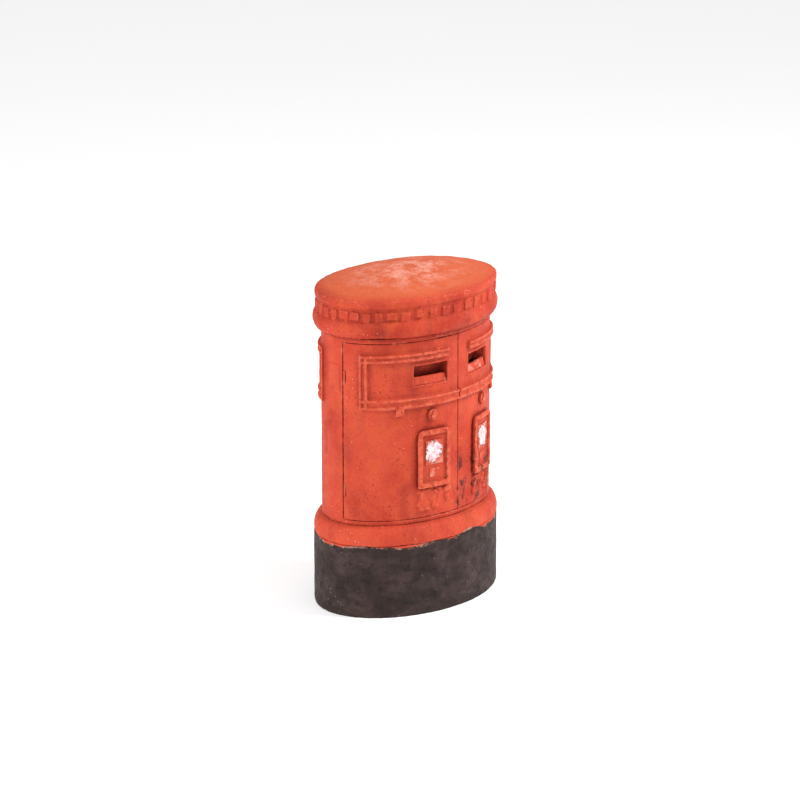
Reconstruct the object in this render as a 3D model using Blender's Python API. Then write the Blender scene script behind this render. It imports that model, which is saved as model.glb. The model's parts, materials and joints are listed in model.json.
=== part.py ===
"""Oval twin-aperture pillar mailbox, built in metres with the front along -Y and the base on Z = 0."""

import math

import bmesh
import bpy
from mathutils import Matrix, Vector

# Plan of the body: half the long axis (X) and half the short axis (Y)
BODY_A = 0.473
BODY_B = 0.321
WALL = 0.014
GAP = 0.0004

# Levels
PLINTH_TOP = 0.350
MOULDING_TOP = 0.440
DOOR_BOTTOM = 0.462
DOOR_TOP = 1.310
BODY_TOP = 1.335
CAP_TOP = 1.581
BELT_LOW = 1.000
BELT_HIGH = 1.048
BAR_LOW = 1.222
BAR_HIGH = 1.260
SLOT_LOW = 1.102
SLOT_HIGH = 1.196

# Offsets from the body's face, outwards
BASE_OUT = 0.039
BULGE_OUT = 0.038
RIM_OUT = 0.025
BEAD_OUT = 0.018
GROOVE_OUT = 0.011

# Angles of the oval's parameter, from the front's middle towards an end, in degrees
HINGE_ANGLE = 84.0
JAMB_ANGLE = 85.6
DOOR_EDGE_ANGLE = 0.14
SLOT_ANGLES = (9.0, 32.4)
BAR_INNER_ANGLE = 8.6
BAR_OUTER_ANGLES = (64.0, 70.0)
REAR_BAR_ANGLE = 110.0
PAD_ANGLES = (88.0, 101.0)
LIP_ANGLE = 81.0
HEAD_LIP_REACH = 1.4
DOOR_GAP = 0.0015

# Door furniture, for the left and the right door: the oval's angle of each
BOSS_ANGLE = {"left": 20.0, "right": 25.0}
NOTICE_ANGLES = {"left": (7.9, 30.0), "right": (13.5, 36.0)}
BOSS_Z = 0.955
BOSS_RADIUS = 0.0285
BOSS_THICK = 0.013
COVER_PIVOT_Z = 0.968
COVER_DROP = 0.017
RIVET_RADIUS = 0.0026
KEYHOLE_Z = 0.949
KEYHOLE_RADIUS = 0.0045
NOTICE_LOW = 0.607
NOTICE_HIGH = 0.884
NOTICE_OUT = 0.020
NOTICE_CORNER = 0.026
PLATE_LOW = 0.716
PLATE_HIGH = 0.832
TAB_LOW = 0.655
TAB_HIGH = 0.697
# The worn relief low on each door: each disc's shift along the face, its level and its radius
CREST_DISCS = ((0.0, 0.545, 0.030), (-0.052, 0.530, 0.017), (0.052, 0.530, 0.017))

# Door hinges
HINGE_LEVELS = (0.600, 1.150)
KNUCKLE_HALF = 0.028
PIN_RADIUS = 0.0034
PIN_BORE = 0.0038

# Locks
LOCK_Z = (0.912, 0.992)
LOCK_X = (0.090, 0.210)
LOCK_Y = (-0.2660, -0.2360)
BOLT_X = (0.028, 0.165)
BOLT_HALF = 0.007
BOLT_CLEAR = 0.0006

# Inside
POST_HALF = 0.020
POST_Y = (-0.3055, -0.2680)
DIVIDER_HALF = 0.003
FLOOR_Z = (0.424, 0.434)
GUARD_X = (0.036, 0.286)
GUARD_Y = (-0.2030, -0.1970)
GUARD_TOP = 1.030
DENTILS = 42
ARC_STEP = 7.0
SEAT = 0.0010
SHARP_ANGLE = math.radians(32.0)

PAINT_RED = (0.62, 0.075, 0.040, 1.0)
PAINT_BLACK = (0.045, 0.036, 0.033, 1.0)
INNER_RED = (0.45, 0.055, 0.035, 1.0)
ENAMEL_WHITE = (0.85, 0.78, 0.79, 1.0)
STEEL = (0.42, 0.42, 0.43, 1.0)
BRASS = (0.60, 0.42, 0.16, 1.0)
GALVANISED = (0.50, 0.51, 0.52, 1.0)

for old in list(bpy.data.objects):
    bpy.data.objects.remove(old, do_unlink=True)

parts = bpy.data.collections.new("mailbox")
cutters = bpy.data.collections.new("cutters")
bpy.context.scene.collection.children.link(parts)
bpy.context.scene.collection.children.link(cutters)


def oval_point(angle, offset, z):
    """The point at an angle of the oval in degrees, an offset out from the body's face, and a height."""
    t = math.radians(angle)
    return Vector(((BODY_A + offset) * math.sin(t), -(BODY_B + offset) * math.cos(t), z))


def oval_frame(angle, offset, z):
    """A matrix at a point of the oval: X along the face, Y up and Z straight out of the face."""
    t = math.radians(angle)
    outward = Vector((BODY_B * math.sin(t), -BODY_A * math.cos(t), 0.0)).normalized()
    along = Vector((BODY_A * math.cos(t), BODY_B * math.sin(t), 0.0)).normalized()
    up = Vector((0.0, 0.0, 1.0))
    rotation = Matrix((along, up, outward)).transposed().to_4x4()
    return Matrix.Translation(oval_point(angle, offset, z)) @ rotation


def material_for(name, colour, metallic, roughness):
    """A plain Principled material in the piece's own name."""
    made = bpy.data.materials.new(name)
    made.use_nodes = True
    shader = made.node_tree.nodes["Principled BSDF"]
    shader.inputs["Base Color"].default_value = colour
    shader.inputs["Metallic"].default_value = metallic
    shader.inputs["Roughness"].default_value = roughness
    made.diffuse_color = colour
    return made


def finish_mesh(name, bm):
    """Turns a bmesh into an outward-facing object, smooth but for its sharp corners."""
    bmesh.ops.recalc_face_normals(bm, faces=bm.faces)
    mesh = bpy.data.meshes.new(name)
    bm.to_mesh(mesh)
    bm.free()
    for face in mesh.polygons:
        face.use_smooth = True
    mesh.set_sharp_from_angle(angle=SHARP_ANGLE)
    return bpy.data.objects.new(name, mesh)


def as_piece(obj, colour, metallic=0.0, roughness=0.6):
    """Files an object as one piece of the mailbox with its own material."""
    obj.data.materials.append(material_for(obj.name, colour, metallic, roughness))
    parts.objects.link(obj)
    return obj


def as_tool(obj):
    """Files an object as a cutter or an added lump that a Boolean uses."""
    obj.hide_render = True
    obj.display_type = "WIRE"
    cutters.objects.link(obj)
    return obj


def combine(target, tool, operation):
    """Adds one exact Boolean to a piece."""
    modifier = target.modifiers.new(operation.lower(), "BOOLEAN")
    modifier.operation = operation
    modifier.solver = "EXACT"
    modifier.object = as_tool(tool)


def swept(name, profile, start, end):
    """A closed outline of (offset, z) points carried round the oval from one angle to another."""
    steps = max(1, math.ceil(abs(end - start) / ARC_STEP))
    bm = bmesh.new()
    rings = []
    for index in range(steps + 1):
        angle = start + (end - start) * index / steps
        rings.append([bm.verts.new(oval_point(angle, offset, z)) for offset, z in profile])
    count = len(profile)
    for near, far in zip(rings, rings[1:]):
        for k in range(count):
            bm.faces.new((near[k], near[(k + 1) % count], far[(k + 1) % count], far[k]))
    bm.faces.new(rings[0])
    bm.faces.new(list(reversed(rings[-1])))
    return finish_mesh(name, bm)


def ring(name, profile):
    """A closed outline of (offset, z) points carried all the way round the oval."""
    steps = 48
    bm = bmesh.new()
    rings = []
    for index in range(steps):
        angle = 360.0 * index / steps
        rings.append([bm.verts.new(oval_point(angle, offset, z)) for offset, z in profile])
    count = len(profile)
    for index in range(steps):
        near = rings[index]
        far = rings[(index + 1) % steps]
        for k in range(count):
            bm.faces.new((near[k], near[(k + 1) % count], far[(k + 1) % count], far[k]))
    return finish_mesh(name, bm)


def band(start_offset, end_offset, low, high):
    """The outline of a plain rectangular band."""
    return [(start_offset, low), (end_offset, low), (end_offset, high), (start_offset, high)]


def block(name, low, high):
    """An upright box between two corners."""
    bm = bmesh.new()
    bmesh.ops.create_cube(bm, size=1.0)
    size = Vector(high) - Vector(low)
    middle = (Vector(high) + Vector(low)) / 2.0
    placed = Matrix.Translation(middle) @ Matrix.Diagonal((*size, 1.0))
    bmesh.ops.transform(bm, matrix=placed, verts=bm.verts)
    return finish_mesh(name, bm)


def mirrored_block(name, side, x, y, z):
    """A box whose X span is given on the right-hand side and is mirrored for the left."""
    spans = sorted((side * x[0], side * x[1]))
    return block(name, (spans[0], y[0], z[0]), (spans[1], y[1], z[1]))


def face_box(name, angle, z, along, out):
    """A box set square to the face at one angle: its spans along the face, up and outwards."""
    bm = bmesh.new()
    bmesh.ops.create_cube(bm, size=1.0)
    size = Vector((along[1] - along[0], z[1] - z[0], out[1] - out[0]))
    middle = Vector(((along[1] + along[0]) / 2.0, (z[1] + z[0]) / 2.0, (out[1] + out[0]) / 2.0))
    local = Matrix.Translation(middle) @ Matrix.Diagonal((*size, 1.0))
    bmesh.ops.transform(bm, matrix=oval_frame(angle, 0.0, 0.0) @ local, verts=bm.verts)
    return finish_mesh(name, bm)


def stud(name, angle, z, radius, out, segments=24, along=0.0):
    """A round stud square to the face at one angle, between two offsets out of the face."""
    bm = bmesh.new()
    bmesh.ops.create_cone(
        bm, cap_ends=True, segments=segments, radius1=radius, radius2=radius, depth=out[1] - out[0]
    )
    local = Matrix.Translation((along, 0.0, (out[0] + out[1]) / 2.0))
    bmesh.ops.transform(bm, matrix=oval_frame(angle, 0.0, z) @ local, verts=bm.verts)
    return finish_mesh(name, bm)


def upright(name, centre, radius, low, high, segments=24):
    """A vertical round bar."""
    bm = bmesh.new()
    bmesh.ops.create_cone(
        bm, cap_ends=True, segments=segments, radius1=radius, radius2=radius, depth=high - low
    )
    middle = Matrix.Translation((centre[0], centre[1], (low + high) / 2.0))
    bmesh.ops.transform(bm, matrix=middle, verts=bm.verts)
    return finish_mesh(name, bm)


def set_origin(obj, point):
    """Moves an object's origin to a point and leaves its shape where it is."""
    obj.data.transform(Matrix.Translation(-Vector(point)))
    obj.matrix_world = Matrix.Translation(Vector(point))


def moulded_bar(low, high):
    """The outline of a raised bar with a bead along each edge and a groove between them."""
    bead = 0.011
    return [
        (-0.005, low),
        (BEAD_OUT - 0.003, low),
        (BEAD_OUT, low + 0.003),
        (BEAD_OUT, low + bead - 0.003),
        (GROOVE_OUT, low + bead),
        (GROOVE_OUT, high - bead),
        (BEAD_OUT, high - bead + 0.003),
        (BEAD_OUT, high - 0.003),
        (BEAD_OUT - 0.003, high),
        (-0.005, high),
    ]


# ---------------------------------------------------------------- plinth
base = ring(
    "base_plinth",
    [
        (BASE_OUT, 0.0),
        (BASE_OUT, PLINTH_TOP - 0.006),
        (BASE_OUT - 0.004, PLINTH_TOP),
        (BASE_OUT - 0.050, PLINTH_TOP),
        (BASE_OUT - 0.050, PLINTH_TOP - 0.016),
        (BASE_OUT - 0.018, PLINTH_TOP - 0.022),
        (BASE_OUT - 0.018, 0.022),
        (BASE_OUT - 0.060, 0.016),
        (BASE_OUT - 0.060, 0.0),
    ],
)
as_piece(base, PAINT_BLACK, roughness=0.7)

moulding_low = PLINTH_TOP + GAP
moulding = ring(
    "plinth_moulding",
    [
        (-0.045, moulding_low),
        (BASE_OUT - 0.001, moulding_low),
        (BASE_OUT + 0.001, moulding_low + 0.014),
        (BASE_OUT - 0.002, moulding_low + 0.046),
        (BASE_OUT - 0.012, moulding_low + 0.068),
        (BASE_OUT - 0.027, moulding_low + 0.083),
        (0.006, MOULDING_TOP),
        (-WALL, MOULDING_TOP),
        (-WALL, FLOOR_Z[0] - GAP),
        (-0.045, FLOOR_Z[0] - GAP),
    ],
)
as_piece(moulding, PAINT_RED)

for number, angle in enumerate((45.0, 135.0, 225.0, 315.0), start=1):
    place = oval_point(angle, -0.036, 0.0)
    combine(moulding, upright(f"floor_bore_{number}", place, 0.0042, 0.39, 0.45), "DIFFERENCE")

floor_bm = bmesh.new()
floor_rim = [oval_point(360.0 * k / 40, -WALL - 0.0020, FLOOR_Z[0]) for k in range(40)]
floor_face = floor_bm.faces.new([floor_bm.verts.new(point) for point in floor_rim])
lifted = bmesh.ops.extrude_face_region(floor_bm, geom=[floor_face])
for vert in [item for item in lifted["geom"] if isinstance(item, bmesh.types.BMVert)]:
    vert.co.z = FLOOR_Z[1]
floor = as_piece(finish_mesh("compartment_floor", floor_bm), GALVANISED, 0.6, 0.5)

for number, angle in enumerate((45.0, 135.0, 225.0, 315.0), start=1):
    place = oval_point(angle, -0.036, 0.0)
    combine(floor, upright(f"floor_hole_{number}", place, 0.0042, 0.40, 0.45), "DIFFERENCE")
    screw = upright(f"floor_screw_{number}", place, 0.0038, 0.400, FLOOR_Z[1] + 0.002, 16)
    head = upright(f"floor_screw_head_{number}", place, 0.008, FLOOR_Z[1] + GAP, FLOOR_Z[1] + 0.006, 6)
    combine(screw, head, "UNION")
    as_piece(screw, STEEL, 1.0, 0.4)

# ---------------------------------------------------------------- body casting
body = ring("body_casting", band(-WALL, 0.0, MOULDING_TOP + GAP, BODY_TOP))
opening = band(-0.05, 0.05, DOOR_BOTTOM - DOOR_GAP, DOOR_TOP + DOOR_GAP)
combine(body, swept("doorway", opening, -JAMB_ANGLE, JAMB_ANGLE), "DIFFERENCE")
sill_lip = [
    (-0.030, MOULDING_TOP + GAP),
    (-WALL + 0.004, MOULDING_TOP + GAP),
    (-WALL + 0.004, DOOR_BOTTOM - 0.004),
    (-WALL - 0.0015, DOOR_BOTTOM - 0.002),
    (-WALL - 0.0015, DOOR_BOTTOM + 0.014),
    (-0.030, DOOR_BOTTOM + 0.014),
]
head_lip = []
for offset, z in sill_lip:
    reach = offset * HEAD_LIP_REACH if offset < -0.02 else offset
    head_lip.append((reach, min(BODY_TOP + MOULDING_TOP + GAP - z, BODY_TOP - 0.0004)))
combine(body, swept("sill_lip", sill_lip, -LIP_ANGLE, LIP_ANGLE), "UNION")
combine(body, swept("head_lip", head_lip, -LIP_ANGLE, LIP_ANGLE), "UNION")

rear_end = 360.0 - REAR_BAR_ANGLE
combine(body, swept("rear_belt", moulded_bar(BELT_LOW, BELT_HIGH), REAR_BAR_ANGLE, rear_end), "UNION")
combine(body, swept("rear_bar", moulded_bar(BAR_LOW, BAR_HIGH), REAR_BAR_ANGLE, rear_end), "UNION")
for word, start in (("left", REAR_BAR_ANGLE), ("right", rear_end - 6.0)):
    upper = BAR_LOW + 0.006
    lower = BELT_HIGH - 0.006
    web = band(-0.005, GROOVE_OUT - 0.001, lower, upper)
    combine(body, swept(f"rear_{word}_web", web, start + 0.3, start + 5.7), "UNION")
    for k, place in enumerate((start + 0.1, start + 4.1)):
        bead = band(-0.004, BEAD_OUT - 0.001, lower, upper)
        combine(body, swept(f"rear_{word}_bead_{k}", bead, place, place + 1.8), "UNION")
for word, side in (("left", -1.0), ("right", 1.0)):
    pad = [(-0.004, 1.070), (0.004, 1.070), (0.006, 1.073), (0.006, 1.197), (0.004, 1.200), (-0.004, 1.200)]
    combine(body, swept(f"end_pad_{word}", pad, side * PAD_ANGLES[0], side * PAD_ANGLES[1]), "UNION")
as_piece(body, PAINT_RED)

# ---------------------------------------------------------------- cap
cap_low = BODY_TOP + GAP
outer = [
    (0.000, cap_low),
    (0.016, cap_low + 0.007),
    (0.031, cap_low + 0.029),
    (BULGE_OUT, cap_low + 0.055),
    (BULGE_OUT - 0.003, cap_low + 0.075),
    (0.021, cap_low + 0.089),
    (0.019, cap_low + 0.142),
    (RIM_OUT + 0.006, cap_low + 0.154),
    (RIM_OUT + 0.007, cap_low + 0.173),
    (RIM_OUT + 0.002, cap_low + 0.183),
]
rim_z = cap_low + 0.183
DOME_SHARES = (0.94, 0.78, 0.55, 0.27)
cap_steps = 48
cap_bm = bmesh.new()


def cap_ring(scale, offset, z):
    """One oval row of the cap's vertices, scaled about the middle."""
    row = []
    for index in range(cap_steps):
        point = oval_point(360.0 * index / cap_steps, offset, z)
        row.append(cap_bm.verts.new((point.x * scale, point.y * scale, z)))
    return row


def dome_height(share, top, edge):
    """The height of the dome over a share of the rim's radius."""
    return edge + (top - edge) * (1.0 - share ** 2.2)


rows = [cap_ring(1.0, offset, z) for offset, z in outer]
for share in DOME_SHARES:
    rows.append(cap_ring(share, RIM_OUT, dome_height(share, CAP_TOP, rim_z)))
inner_top = CAP_TOP - 0.014
inner_edge = rim_z - 0.020
inner = [
    (0.006, inner_edge),
    (0.006, cap_low + 0.016),
    (-WALL - 0.030, cap_low + 0.016),
    (-WALL - 0.030, cap_low),
]
inner_rows = [cap_ring(1.0, offset, z) for offset, z in reversed(inner)]
for near, far in zip(rows, rows[1:]):
    for k in range(cap_steps):
        nxt = (k + 1) % cap_steps
        cap_bm.faces.new((near[k], near[nxt], far[nxt], far[k]))
apex = cap_bm.verts.new((0.0, 0.0, CAP_TOP))
for k in range(cap_steps):
    cap_bm.faces.new((rows[-1][k], rows[-1][(k + 1) % cap_steps], apex))
inside = list(inner_rows)
for share in DOME_SHARES[1:]:
    inside.append(cap_ring(share, 0.006, dome_height(share, inner_top, inner_edge)))
for near, far in zip(inside, inside[1:]):
    for k in range(cap_steps):
        nxt = (k + 1) % cap_steps
        cap_bm.faces.new((near[nxt], near[k], far[k], far[nxt]))
inner_apex = cap_bm.verts.new((0.0, 0.0, inner_top))
for k in range(cap_steps):
    cap_bm.faces.new((inside[-1][(k + 1) % cap_steps], inside[-1][k], inner_apex))
for k in range(cap_steps):
    nxt = (k + 1) % cap_steps
    cap_bm.faces.new((rows[0][nxt], rows[0][k], inside[0][k], inside[0][nxt]))
cap = finish_mesh("dome_cap", cap_bm)

dentil_bm = bmesh.new()
for number in range(DENTILS):
    place = oval_frame(360.0 * (number + 0.5) / DENTILS, 0.021, cap_low + 0.111)
    local = Matrix.Diagonal((0.034, 0.040, 0.016, 1.0))
    bmesh.ops.create_cube(dentil_bm, size=1.0, matrix=place @ local)
combine(cap, finish_mesh("dentils", dentil_bm), "UNION")
for number, angle in enumerate((30.0, 150.0, 210.0, 330.0), start=1):
    place = oval_point(angle, -WALL - 0.014, 0.0)
    combine(cap, upright(f"cap_bore_{number}", place, 0.0056, 1.28, 1.42), "DIFFERENCE")
    if number in (2, 3):
        lug = oval_point(angle, -WALL - 0.014, 0.0)
        boss = upright(f"body_lug_{number}", lug, 0.022, 1.300, BODY_TOP - 0.0004)
        combine(body, boss, "UNION")
    combine(body, upright(f"body_bore_{number}", place, 0.0056, 1.26, 1.42), "DIFFERENCE")
    bolt = upright(f"cap_bolt_{number}", place, 0.0050, 1.285, cap_low + 0.018, 16)
    head = upright(f"cap_bolt_head_{number}", place, 0.0105, cap_low + 0.016 + GAP, cap_low + 0.026, 6)
    combine(bolt, head, "UNION")
    as_piece(bolt, STEEL, 1.0, 0.45)
as_piece(cap, PAINT_RED)

# ---------------------------------------------------------------- inside fittings
post = block(
    "centre_post", (-POST_HALF, POST_Y[0], MOULDING_TOP + 0.040), (POST_HALF, POST_Y[1], DOOR_TOP - 0.020)
)
as_piece(post, INNER_RED)
divider = block(
    "compartment_divider",
    (-DIVIDER_HALF, POST_Y[1] + GAP, FLOOR_Z[1] + GAP),
    (DIVIDER_HALF, BODY_B - WALL - 0.0006, BODY_TOP - 0.010),
)
as_piece(divider, GALVANISED, 0.6, 0.5)

# ---------------------------------------------------------------- doors and their furniture
for word, side in (("left", -1.0), ("right", 1.0)):
    hinge = oval_point(side * HINGE_ANGLE, -WALL / 2.0, 0.0)
    panel = band(-WALL, 0.0, DOOR_BOTTOM, DOOR_TOP)
    door = swept(f"{word}_door", panel, side * DOOR_EDGE_ANGLE, side * HINGE_ANGLE)
    edge_span = (DOOR_BOTTOM + 0.0007, DOOR_TOP - 0.0007)
    combine(door, upright(f"{word}_edge_bead", hinge, WALL / 2.0 + 0.0005, *edge_span, 22), "UNION")
    bar_end = side * BAR_OUTER_ANGLES[1]
    belt = moulded_bar(BELT_LOW, BELT_HIGH)
    combine(door, swept(f"{word}_belt", belt, side * (DOOR_EDGE_ANGLE + 0.1), bar_end), "UNION")
    top_bar = moulded_bar(BAR_LOW, BAR_HIGH)
    combine(door, swept(f"{word}_top_bar", top_bar, side * BAR_INNER_ANGLE, bar_end), "UNION")
    lower = BELT_HIGH - 0.006
    upper = BAR_LOW + 0.006
    web = band(-0.005, GROOVE_OUT - 0.001, lower, upper)
    web_ends = (side * (BAR_OUTER_ANGLES[0] + 0.3), side * (BAR_OUTER_ANGLES[1] - 0.3))
    combine(door, swept(f"{word}_web", web, *web_ends), "UNION")
    bead = band(-0.004, BEAD_OUT - 0.001, lower, upper)
    for k, start in enumerate((BAR_OUTER_ANGLES[0], BAR_OUTER_ANGLES[1] - 1.9)):
        combine(door, swept(f"{word}_upright_bead_{k}", bead, side * start, side * (start + 1.8)), "UNION")
    lug = face_box(f"{word}_pull_lug", side * 42.0, (0.968, 0.996), (-0.020, 0.020), (-0.004, 0.014))
    combine(door, lug, "UNION")
    crest_angle = sum(NOTICE_ANGLES[word]) / 2.0
    for k, (shift, level, size) in enumerate(CREST_DISCS):
        crest = stud(f"{word}_crest_{k}", side * crest_angle, level, size, (-0.004, 0.010), 12, shift)
        combine(door, crest, "UNION")
    slot = band(-0.05, 0.05, SLOT_LOW, SLOT_HIGH)
    slot_ends = (side * SLOT_ANGLES[0], side * SLOT_ANGLES[1])
    combine(door, swept(f"{word}_slot_cut", slot, *slot_ends), "DIFFERENCE")
    boss_angle = side * BOSS_ANGLE[word]
    key_bore = stud(f"{word}_key_bore", boss_angle, KEYHOLE_Z, KEYHOLE_RADIUS, (-0.06, 0.06), 16)
    combine(door, key_bore, "DIFFERENCE")

    notch = 0.0095
    for level_word, level in zip(("lower", "upper"), HINGE_LEVELS):
        relief = face_box(
            f"{word}_{level_word}_notch",
            side * HINGE_ANGLE,
            (level - KNUCKLE_HALF - 0.001, level + KNUCKLE_HALF + 0.001),
            (-notch, notch),
            (-0.030, 0.012),
        )
        combine(door, relief, "DIFFERENCE")
        bore = upright(f"{word}_{level_word}_bore", hinge, PIN_BORE, level - 0.070, level + 0.070)
        combine(door, bore, "DIFFERENCE")
        span = (level - KNUCKLE_HALF, level + KNUCKLE_HALF)
        leaf = upright(f"{word}_{level_word}_hinge_leaf", hinge, WALL / 2.0 - 0.0003, *span)
        along = sorted((side * -0.001, side * 0.0055))
        web_out = (-WALL - 0.005, -WALL / 2.0)
        web = face_box(f"{word}_{level_word}_leaf_web", side * HINGE_ANGLE, span, along, web_out)
        combine(leaf, web, "UNION")
        plate_out = (-WALL - 0.0075, -WALL - 0.0026)
        plate_along = sorted((side * -0.001, side * 0.026))
        plate = face_box(f"{word}_{level_word}_leaf_plate", side * HINGE_ANGLE, span, plate_along, plate_out)
        combine(leaf, plate, "UNION")
        leaf_bore = upright(f"{word}_{level_word}_leaf_bore", hinge, PIN_BORE, level - 0.070, level + 0.070)
        combine(leaf, leaf_bore, "DIFFERENCE")
        as_piece(leaf, STEEL, 1.0, 0.5)
        pin = upright(f"{word}_{level_word}_hinge_pin", hinge, PIN_RADIUS, level - 0.068, level + 0.068, 20)
        as_piece(pin, STEEL, 1.0, 0.35)

    for k, x_low in enumerate((LOCK_X[0] + 0.010, LOCK_X[1] - 0.030)):
        stand_x = (x_low, x_low + 0.020)
        stand_y = (-0.303 + 0.018 * k, LOCK_Y[0] - GAP)
        stand = mirrored_block(f"{word}_lock_stand_{k}", side, stand_x, stand_y, (0.972, 0.990))
        combine(door, stand, "UNION")
    set_origin(door, hinge)
    as_piece(door, PAINT_RED)

    lip_angles = (side * (SLOT_ANGLES[0] + 0.12), side * (SLOT_ANGLES[1] - 0.12))
    lip = [
        (-0.004, SLOT_LOW + GAP),
        (-0.004, SLOT_LOW + 0.006),
        (-WALL + 0.001, SLOT_LOW + 0.036),
        (-WALL - 0.010, SLOT_LOW + 0.036),
        (-WALL - 0.010, SLOT_LOW - 0.020),
        (-WALL - 0.0014, SLOT_LOW - 0.020),
        (-WALL - 0.0014, SLOT_LOW + GAP),
    ]
    as_piece(swept(f"{word}_slot_lip", lip, *lip_angles), PAINT_RED)

    hood_angles = (side * (SLOT_ANGLES[0] - 0.6), side * (SLOT_ANGLES[1] + 0.9))
    hood_outline = [
        (-WALL - 0.0014, SLOT_HIGH + 0.020),
        (-WALL - 0.0014, SLOT_HIGH + 0.0175),
        (-0.054, SLOT_HIGH - 0.004),
        (-0.068, SLOT_HIGH - 0.070),
        (-0.071, SLOT_HIGH - 0.070),
        (-0.057, SLOT_HIGH - 0.001),
    ]
    hood = swept(f"{word}_slot_hood", hood_outline, *hood_angles)
    flange = band(-WALL - 0.0044, -WALL - 0.0014, SLOT_HIGH + 0.004, SLOT_HIGH + 0.040)
    combine(hood, swept(f"{word}_hood_flange", flange, *hood_angles), "UNION")
    as_piece(hood, GALVANISED, 0.7, 0.5)

    near, far = NOTICE_ANGLES[word]
    notice_angle = side * (near + far) / 2.0
    width = (oval_point(far, 0.0, 0.0) - oval_point(near, 0.0, 0.0)).length
    frame = band(SEAT, NOTICE_OUT, NOTICE_LOW, NOTICE_HIGH - NOTICE_CORNER)
    notice = swept(f"{word}_notice_frame", frame, side * near, side * far)
    inset = math.degrees(NOTICE_CORNER / width * math.radians(far - near))
    crown = band(SEAT, NOTICE_OUT, NOTICE_HIGH - NOTICE_CORNER - 0.004, NOTICE_HIGH)
    crown_ends = (side * (near + inset), side * (far - inset))
    combine(notice, swept(f"{word}_notice_crown", crown, *crown_ends), "UNION")
    corner_z = NOTICE_HIGH - NOTICE_CORNER
    for k, angle in enumerate((near + inset, far - inset)):
        corner = stud(f"{word}_notice_corner_{k}", side * angle, corner_z, NOTICE_CORNER, (-0.01, 0.04))
        shell = swept(
            f"{word}_notice_shell_{k}",
            band(SEAT, NOTICE_OUT, NOTICE_HIGH - 2.0 * NOTICE_CORNER, NOTICE_HIGH),
            side * (angle - inset),
            side * (angle + inset),
        )
        combine(shell, corner, "INTERSECT")
        combine(notice, shell, "UNION")
    margin = inset * 0.72
    recess = band(0.008, 0.05, NOTICE_LOW + 0.022, NOTICE_HIGH - 0.022)
    recess_ends = (side * (near + margin), side * (far - margin))
    combine(notice, swept(f"{word}_notice_recess", recess, *recess_ends), "DIFFERENCE")
    plate_half = (far - near) * 0.27
    plate_angles = (notice_angle - plate_half, notice_angle + plate_half)
    as_piece(notice, PAINT_RED)
    plate = swept(f"{word}_notice_plate", band(0.008 + SEAT, 0.0118, PLATE_LOW, PLATE_HIGH), *plate_angles)
    as_piece(plate, ENAMEL_WHITE, 0.0, 0.35)
    for screw_word, z in (("lower", PLATE_LOW + 0.008), ("upper", PLATE_HIGH - 0.008)):
        hole = stud(f"{word}_{screw_word}_plate_hole", notice_angle, z, 0.0030, (-0.05, 0.05), 16)
        combine(plate, hole, "DIFFERENCE")
        frame_hole = stud(f"{word}_{screw_word}_frame_hole", notice_angle, z, 0.0030, (-0.05, 0.05), 16)
        combine(notice, frame_hole, "DIFFERENCE")
        screw = stud(f"{word}_{screw_word}_plate_screw", notice_angle, z, 0.0026, (0.0022, 0.0135), 12)
        screw_head = stud(f"{word}_{screw_word}_screw_head", notice_angle, z, 0.0048, (0.0127, 0.0150), 12)
        combine(screw, screw_head, "UNION")
        as_piece(screw, BRASS, 1.0, 0.35)
    tab_z = (TAB_LOW, TAB_HIGH)
    pocket = face_box(f"{word}_tab_pocket", notice_angle, tab_z, (-0.026, 0.026), (0.0028, 0.05))
    combine(notice, pocket, "DIFFERENCE")
    tab = face_box(
        f"{word}_collection_tab",
        notice_angle,
        (TAB_LOW + GAP, TAB_HIGH - GAP),
        (-0.026 + GAP, 0.026 - GAP),
        (0.0028 + GAP, 0.0102),
    )
    as_piece(tab, ENAMEL_WHITE, 0.0, 0.35)

    escutcheon = stud(f"{word}_lock_boss", boss_angle, BOSS_Z, BOSS_RADIUS, (SEAT, BOSS_THICK), 24)
    boss_bore = stud(f"{word}_boss_key_bore", boss_angle, KEYHOLE_Z, KEYHOLE_RADIUS, (-0.02, 0.05), 16)
    combine(escutcheon, boss_bore, "DIFFERENCE")
    rivet_hole = RIVET_RADIUS + GAP
    rivet_bore = stud(f"{word}_boss_rivet_bore", boss_angle, COVER_PIVOT_Z, rivet_hole, (0.003, 0.05), 16)
    combine(escutcheon, rivet_bore, "DIFFERENCE")
    as_piece(escutcheon, PAINT_RED)
    cover_out = (BOSS_THICK + GAP, BOSS_THICK + 0.0034)
    cover = stud(f"{word}_keyhole_cover", boss_angle, COVER_PIVOT_Z - COVER_DROP, 0.0125, cover_out, 18)
    eye_out = (cover_out[0] + 0.0002, cover_out[1] - 0.0002)
    neck_out = (cover_out[0] + 0.0004, cover_out[1] - 0.0004)
    combine(cover, stud(f"{word}_cover_eye", boss_angle, COVER_PIVOT_Z, 0.0072, eye_out, 12), "UNION")
    neck_z = (COVER_PIVOT_Z - COVER_DROP, COVER_PIVOT_Z)
    cover_neck = face_box(f"{word}_cover_neck", boss_angle, neck_z, (-0.0055, 0.0055), neck_out)
    combine(cover, cover_neck, "UNION")
    cover_bore = stud(f"{word}_cover_bore", boss_angle, COVER_PIVOT_Z, rivet_hole, (-0.02, 0.05), 16)
    combine(cover, cover_bore, "DIFFERENCE")
    as_piece(cover, PAINT_RED)
    pivot = oval_frame(boss_angle, 0.0, COVER_PIVOT_Z).translation
    set_origin(cover, pivot)
    shank_out = (0.0034, BOSS_THICK + 0.005)
    head_out = (BOSS_THICK + 0.0038, BOSS_THICK + 0.0060)
    rivet = stud(f"{word}_cover_rivet", boss_angle, COVER_PIVOT_Z, RIVET_RADIUS, shank_out, 16)
    rivet_head = stud(f"{word}_rivet_head", boss_angle, COVER_PIVOT_Z, 0.0050, head_out, 16)
    combine(rivet, rivet_head, "UNION")
    as_piece(rivet, BRASS, 1.0, 0.35)

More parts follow.
